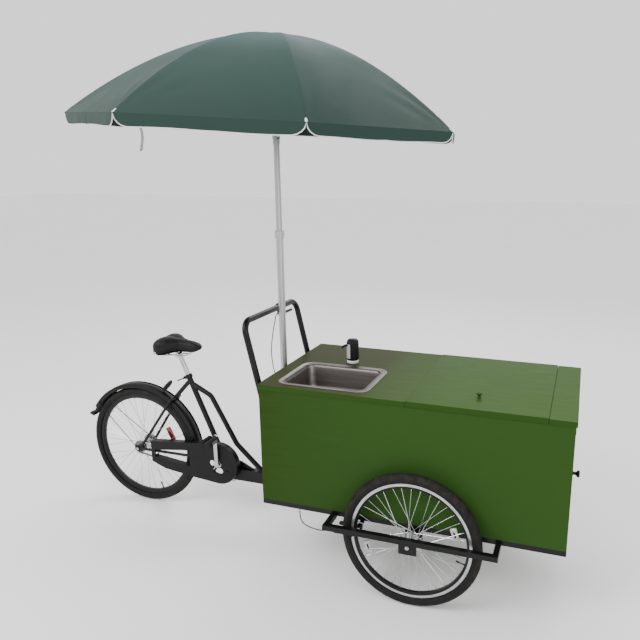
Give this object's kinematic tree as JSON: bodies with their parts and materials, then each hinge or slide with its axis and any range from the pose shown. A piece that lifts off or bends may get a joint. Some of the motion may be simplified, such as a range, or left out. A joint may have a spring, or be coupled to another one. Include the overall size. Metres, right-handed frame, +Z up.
{
  "type": "cargo bicycle",
  "caption": "Three-wheeled cargo bicycle: pedal rear end, steering front box with sink, tap, lidded worktop and front door, and a tilting folding parasol.",
  "frame": {"origin": "on the ground, under the middle of the box that bounds the whole machine", "axes": "+X forward towards the cargo box, +Y to the rider's left, +Z up"},
  "size_m": [2.8903, 1.8633, 2.6165],
  "materials": {
    "frame_black": "semi-gloss black enamel",
    "guard_black": "satin black",
    "box_green": "green painted plywood, satin",
    "top_green": "green lacquered board, gloss",
    "stainless": "brushed",
    "bright_steel": "polished",
    "alloy": "satin",
    "tyre": "matt",
    "saddle_black": "soft matt cover",
    "black_plastic": "matt",
    "clear_plastic": "translucent white",
    "canopy_green": "woven awning cloth",
    "cable_black": "matt"
  },
  "bodies": {
    "rear_frame": {"rear_frame": "frame_black", "rear_axle": "bright_steel", "rear_mudguard": "guard_black", "rear_lamp": "black_plastic", "chain_case": "guard_black", "chain": "bright_steel", "seat_clamp": "alloy"},
    "rear_wheel": {"rear_wheel": "alloy", "rear_tyre": "tyre"},
    "crankset": {"crankset": "alloy"},
    "right_pedal": {"right_pedal": "black_plastic"},
    "left_pedal": {"left_pedal": "black_plastic"},
    "seat": {"seat_post": "bright_steel", "saddle": "saddle_black"},
    "seat_quick_release": {"seat_quick_release": "alloy"},
    "cargo_box": {"front_chassis": "frame_black", "front_axles": "bright_steel", "side_panels": "box_green", "end_panels": "box_green", "box_floor": "box_green", "worktop": "top_green", "sink": "stainless", "dispenser": "black_plastic", "water_canisters": "clear_plastic", "push_handle": "frame_black", "brake_cables": "cable_black", "parasol_lower_pole": "alloy"},
    "right_front_wheel": {"right_front_wheel": "alloy", "right_front_tyre": "tyre"},
    "left_front_wheel": {"left_front_wheel": "alloy", "left_front_tyre": "tyre"},
    "lid": {"lid": "top_green"},
    "front_door": {"front_door": "box_green"},
    "dispenser_button": {"dispenser_button": "bright_steel"},
    "brake_lever": {"brake_lever": "black_plastic"},
    "right_brake_inner_arm": {"right_brake_inner_arm": "frame_black"},
    "right_brake_outer_arm": {"right_brake_outer_arm": "frame_black"},
    "left_brake_inner_arm": {"left_brake_inner_arm": "frame_black"},
    "left_brake_outer_arm": {"left_brake_outer_arm": "frame_black"},
    "parasol_upper_pole": {"parasol_upper_pole": "alloy"},
    "parasol_head": {"parasol_head_pole": "alloy", "parasol_crown": "black_plastic", "canopy": "canopy_green"},
    "parasol_runner": {"parasol_runner": "black_plastic"},
    "parasol_rib_1": {"parasol_rib_1": "bright_steel"},
    "parasol_rib_2": {"parasol_rib_2": "bright_steel"},
    "parasol_rib_3": {"parasol_rib_3": "bright_steel"},
    "parasol_rib_4": {"parasol_rib_4": "bright_steel"},
    "parasol_rib_5": {"parasol_rib_5": "bright_steel"},
    "parasol_rib_6": {"parasol_rib_6": "bright_steel"},
    "parasol_rib_7": {"parasol_rib_7": "bright_steel"},
    "parasol_rib_8": {"parasol_rib_8": "bright_steel"},
    "parasol_stretcher_1": {"parasol_stretcher_1": "bright_steel"},
    "parasol_stretcher_2": {"parasol_stretcher_2": "bright_steel"},
    "parasol_stretcher_3": {"parasol_stretcher_3": "bright_steel"},
    "parasol_stretcher_4": {"parasol_stretcher_4": "bright_steel"},
    "parasol_stretcher_5": {"parasol_stretcher_5": "bright_steel"},
    "parasol_stretcher_6": {"parasol_stretcher_6": "bright_steel"},
    "parasol_stretcher_7": {"parasol_stretcher_7": "bright_steel"},
    "parasol_stretcher_8": {"parasol_stretcher_8": "bright_steel"}
  },
  "joints": [
    {"name": "steering", "type": "hinge", "parent": "rear_frame", "child": "cargo_box", "pos_m": [0.5761, 0, 0.344], "axis": [0, 0, 1], "range_deg": [-35, 35]},
    {"name": "rear_wheel_spin", "type": "hinge", "parent": "rear_frame", "child": "rear_wheel", "pos_m": [-1.0629, 0, 0.361], "axis": [0, 1, 0], "continuous": true},
    {"name": "crank_spin", "type": "hinge", "parent": "rear_frame", "child": "crankset", "pos_m": [-0.5169, 0, 0.345], "axis": [0, 1, 0], "continuous": true},
    {"name": "right_pedal_spin", "type": "hinge", "parent": "crankset", "child": "right_pedal", "pos_m": [-0.5169, -0.141, 0.515], "axis": [0, 1, 0], "continuous": true},
    {"name": "left_pedal_spin", "type": "hinge", "parent": "crankset", "child": "left_pedal", "pos_m": [-0.5169, 0.141, 0.175], "axis": [0, 1, 0], "continuous": true},
    {"name": "seat_height", "type": "slide", "parent": "rear_frame", "child": "seat", "axis": [-0.3905, 0, 0.9206], "range_m": [-0.1, 0.05]},
    {"name": "seat_clamp_lever", "type": "hinge", "parent": "rear_frame", "child": "seat_quick_release", "pos_m": [-0.74621, 0, 0.81895], "axis": [0, 1, 0], "range_deg": [0, 110]},
    {"name": "right_front_wheel_spin", "type": "hinge", "parent": "cargo_box", "child": "right_front_wheel", "pos_m": [0.7261, -0.44, 0.332], "axis": [0, 1, 0], "continuous": true},
    {"name": "left_front_wheel_spin", "type": "hinge", "parent": "cargo_box", "child": "left_front_wheel", "pos_m": [0.7261, 0.44, 0.332], "axis": [0, 1, 0], "continuous": true},
    {"name": "lid_hinge", "type": "hinge", "parent": "cargo_box", "child": "lid", "pos_m": [0.9871, 0.3855, 0.955], "axis": [-1, 0, 0], "range_deg": [0, 100]},
    {"name": "front_door_hinge", "type": "hinge", "parent": "cargo_box", "child": "front_door", "pos_m": [1.4091, 0, 0.848], "axis": [0, -1, 0], "range_deg": [0, 110]},
    {"name": "dispenser_button_press", "type": "slide", "parent": "cargo_box", "child": "dispenser_button", "axis": [0, 0, -1], "range_m": [0, 0.002], "stiffness_N_per_m": 400},
    {"name": "brake_lever_pull", "type": "hinge", "parent": "cargo_box", "child": "brake_lever", "pos_m": [-0.1789, 0.11, 1.212], "axis": [1, 0, 0], "range_deg": [0, 10], "stiffness_Nm_per_rad": 3, "springref_deg": -11.46},
    {"name": "right_brake_inner_pinch", "type": "hinge", "parent": "cargo_box", "child": "right_brake_inner_arm", "pos_m": [0.4721, -0.404, 0.332], "axis": [0, 0, 1], "range_deg": [0, 2.7]},
    {"name": "right_brake_outer_pinch", "type": "hinge", "parent": "cargo_box", "child": "right_brake_outer_arm", "pos_m": [0.4721, -0.476, 0.332], "axis": [0, 0, -1], "range_deg": [0, 2.7]},
    {"name": "left_brake_inner_pinch", "type": "hinge", "parent": "cargo_box", "child": "left_brake_inner_arm", "pos_m": [0.4721, 0.404, 0.332], "axis": [0, 0, -1], "range_deg": [0, 2.7]},
    {"name": "left_brake_outer_pinch", "type": "hinge", "parent": "cargo_box", "child": "left_brake_outer_arm", "pos_m": [0.4721, 0.476, 0.332], "axis": [0, 0, 1], "range_deg": [0, 2.7]},
    {"name": "parasol_height", "type": "slide", "parent": "cargo_box", "child": "parasol_upper_pole", "axis": [0, 0, 1], "range_m": [-0.25, 0.05]},
    {"name": "parasol_tilt", "type": "hinge", "parent": "parasol_upper_pole", "child": "parasol_head", "pos_m": [-0.1139, 0.0007, 2.145], "axis": [-0.4466, -0.8947, 0], "range_deg": [-30, 3.76]},
    {"name": "parasol_runner_slide", "type": "slide", "parent": "parasol_head", "child": "parasol_runner", "axis": [-0.0587, 0.0293, -0.9978], "range_m": [0, 0.2249], "deforming": ["canopy"]},
    {"name": "parasol_rib_1_fold", "type": "hinge", "parent": "parasol_head", "child": "parasol_rib_1", "pos_m": [-0.0741, -0.00363, 2.59551], "axis": [-0.5546, 0.8301, 0.057], "range_deg": [0, 62.05]},
    {"name": "parasol_stretcher_1_fold", "type": "hinge", "parent": "parasol_runner", "child": "parasol_stretcher_1", "pos_m": [-0.07957, 0.00396, 2.4317], "axis": [0.5546, -0.8301, -0.057], "range_deg": [0, 41.09]},
    {"name": "parasol_rib_2_fold", "type": "hinge", "parent": "parasol_head", "child": "parasol_rib_2", "pos_m": [-0.08426, 0.00315, 2.5963], "axis": [-0.9791, 0.1933, 0.0632], "range_deg": [0, 62.05]},
    {"name": "parasol_stretcher_2_fold", "type": "hinge", "parent": "parasol_runner", "child": "parasol_stretcher_2", "pos_m": [-0.09291, 0.01286, 2.43274], "axis": [0.9791, -0.1933, -0.0632], "range_deg": [0, 41.09]},
    {"name": "parasol_rib_3_fold", "type": "hinge", "parent": "parasol_head", "child": "parasol_rib_3", "pos_m": [-0.09625, 0.00074, 2.59694], "axis": [-0.83, -0.5568, 0.0325], "range_deg": [0, 62.05]},
    {"name": "parasol_stretcher_3_fold", "type": "hinge", "parent": "parasol_runner", "child": "parasol_stretcher_3", "pos_m": [-0.10865, 0.0097, 2.43358], "axis": [0.83, 0.5568, -0.0325], "range_deg": [0, 41.09]},
    {"name": "parasol_rib_4_fold", "type": "hinge", "parent": "parasol_head", "child": "parasol_rib_4", "pos_m": [-0.10305, -0.00945, 2.59704], "axis": [-0.1947, -0.9807, -0.0173], "range_deg": [0, 62.05]},
    {"name": "parasol_stretcher_4_fold", "type": "hinge", "parent": "parasol_runner", "child": "parasol_stretcher_4", "pos_m": [-0.11756, -0.00368, 2.43371], "axis": [0.1947, 0.9807, 0.0173], "range_deg": [0, 41.09]},
    {"name": "parasol_rib_5_fold", "type": "hinge", "parent": "parasol_head", "child": "parasol_rib_5", "pos_m": [-0.10066, -0.02145, 2.59655], "axis": [0.5546, -0.8301, -0.057], "range_deg": [0, 62.05]},
    {"name": "parasol_stretcher_5_fold", "type": "hinge", "parent": "parasol_runner", "child": "parasol_stretcher_5", "pos_m": [-0.11443, -0.01943, 2.43306], "axis": [-0.5546, 0.8301, 0.057], "range_deg": [0, 41.09]},
    {"name": "parasol_rib_6_fold", "type": "hinge", "parent": "parasol_head", "child": "parasol_rib_6", "pos_m": [-0.0905, -0.02823, 2.59575], "axis": [0.9791, -0.1933, -0.0632], "range_deg": [0, 62.05]},
    {"name": "parasol_stretcher_6_fold", "type": "hinge", "parent": "parasol_runner", "child": "parasol_stretcher_6", "pos_m": [-0.10109, -0.02833, 2.43202], "axis": [-0.9791, 0.1933, 0.0632], "range_deg": [0, 41.09]},
    {"name": "parasol_rib_7_fold", "type": "hinge", "parent": "parasol_head", "child": "parasol_rib_7", "pos_m": [-0.07851, -0.02582, 2.59512], "axis": [0.83, 0.5568, -0.0325], "range_deg": [0, 62.05]},
    {"name": "parasol_stretcher_7_fold", "type": "hinge", "parent": "parasol_runner", "child": "parasol_stretcher_7", "pos_m": [-0.08535, -0.02517, 2.43118], "axis": [-0.83, -0.5568, 0.0325], "range_deg": [0, 41.09]},
    {"name": "parasol_rib_8_fold", "type": "hinge", "parent": "parasol_head", "child": "parasol_rib_8", "pos_m": [-0.07171, -0.01563, 2.59502], "axis": [0.1947, 0.9807, 0.0173], "range_deg": [0, 62.05]},
    {"name": "parasol_stretcher_8_fold", "type": "hinge", "parent": "parasol_runner", "child": "parasol_stretcher_8", "pos_m": [-0.07644, -0.01179, 2.43105], "axis": [-0.1947, -0.9807, -0.0173], "range_deg": [0, 41.09]}
  ],
  "couplings": [
    {"joint": "crank_spin", "follows": "rear_wheel_spin", "ratio": 0.40909},
    {"joint": "right_brake_inner_pinch", "follows": "brake_lever_pull", "ratio": 0.27},
    {"joint": "right_brake_outer_pinch", "follows": "brake_lever_pull", "ratio": 0.27},
    {"joint": "left_brake_inner_pinch", "follows": "brake_lever_pull", "ratio": 0.27},
    {"joint": "left_brake_outer_pinch", "follows": "brake_lever_pull", "ratio": 0.27},
    {"joint": "parasol_rib_1_fold", "follows": "parasol_runner_slide", "rad_per_m": 4.8115},
    {"joint": "parasol_stretcher_1_fold", "follows": "parasol_runner_slide", "rad_per_m": 3.1852},
    {"joint": "parasol_rib_2_fold", "follows": "parasol_runner_slide", "rad_per_m": 4.8115},
    {"joint": "parasol_stretcher_2_fold", "follows": "parasol_runner_slide", "rad_per_m": 3.1852},
    {"joint": "parasol_rib_3_fold", "follows": "parasol_runner_slide", "rad_per_m": 4.8115},
    {"joint": "parasol_stretcher_3_fold", "follows": "parasol_runner_slide", "rad_per_m": 3.1852},
    {"joint": "parasol_rib_4_fold", "follows": "parasol_runner_slide", "rad_per_m": 4.8115},
    {"joint": "parasol_stretcher_4_fold", "follows": "parasol_runner_slide", "rad_per_m": 3.1852},
    {"joint": "parasol_rib_5_fold", "follows": "parasol_runner_slide", "rad_per_m": 4.8115},
    {"joint": "parasol_stretcher_5_fold", "follows": "parasol_runner_slide", "rad_per_m": 3.1852},
    {"joint": "parasol_rib_6_fold", "follows": "parasol_runner_slide", "rad_per_m": 4.8115},
    {"joint": "parasol_stretcher_6_fold", "follows": "parasol_runner_slide", "rad_per_m": 3.1852},
    {"joint": "parasol_rib_7_fold", "follows": "parasol_runner_slide", "rad_per_m": 4.8115},
    {"joint": "parasol_stretcher_7_fold", "follows": "parasol_runner_slide", "rad_per_m": 3.1852},
    {"joint": "parasol_rib_8_fold", "follows": "parasol_runner_slide", "rad_per_m": 4.8115},
    {"joint": "parasol_stretcher_8_fold", "follows": "parasol_runner_slide", "rad_per_m": 3.1852}
  ]
}
